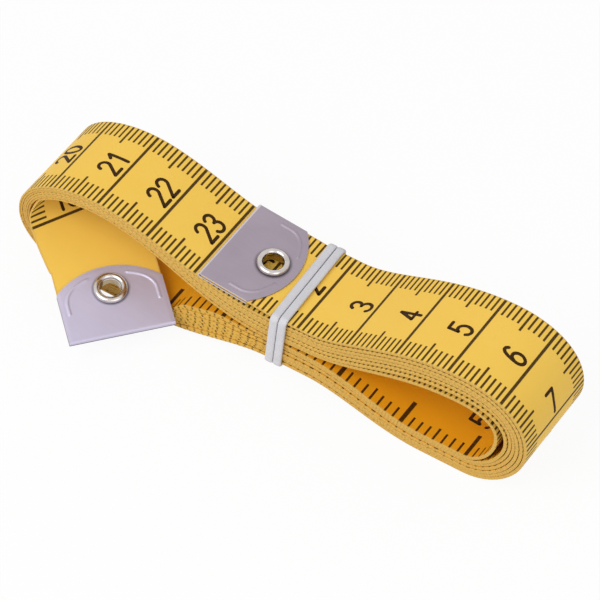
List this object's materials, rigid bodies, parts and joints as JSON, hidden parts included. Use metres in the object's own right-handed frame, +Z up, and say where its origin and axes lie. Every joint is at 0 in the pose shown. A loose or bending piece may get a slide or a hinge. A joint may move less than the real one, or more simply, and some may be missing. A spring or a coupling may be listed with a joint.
{
  "type": "cloth tape measure",
  "caption": "Flat cloth tape measure wound into a figure-eight coil with a rubber band at its waist and folded metal clips with eyelets on both ends.",
  "frame": {"origin": "middle of the whole part's box, on the table it lies on", "axes": "+X along the coil towards the loop with the low numbers, +Z up from the table, -Y towards the side where the inner end comes out"},
  "size_m": [0.101, 0.035, 0.0235],
  "materials": {
    "tape": "coated cloth, yellow, printed black scale, soft sheen",
    "clip": "satin plated sheet steel",
    "eyelet": "bright nickel plate",
    "band": "white rubber, matt"
  },
  "bodies": {
    "coil": {"tape_coil": "tape"},
    "outer_end": {"tape_outer_end": "tape", "outer_clip": "clip", "outer_eyelet": "eyelet"},
    "inner_end": {"tape_inner_end": "tape", "inner_clip": "clip", "inner_eyelet": "eyelet"},
    "band": {"rubber_band": "band"}
  },
  "joints": [
    {"name": "outer_end_lift", "type": "hinge", "parent": "coil", "child": "outer_end", "pos_m": [0.00105, 0.00731, 0.01535], "axis": [0, 1, 0], "range_deg": [0, 70]},
    {"name": "inner_end_lift", "type": "hinge", "parent": "coil", "child": "inner_end", "pos_m": [-0.03274, -0.00148, 0.00682], "axis": [-0.6639, -0.7478, 0], "range_deg": [0, 35]},
    {"name": "band_slide", "type": "slide", "parent": "coil", "child": "band", "axis": [1, 0, 0], "range_m": [0, 0.0025]}
  ]
}
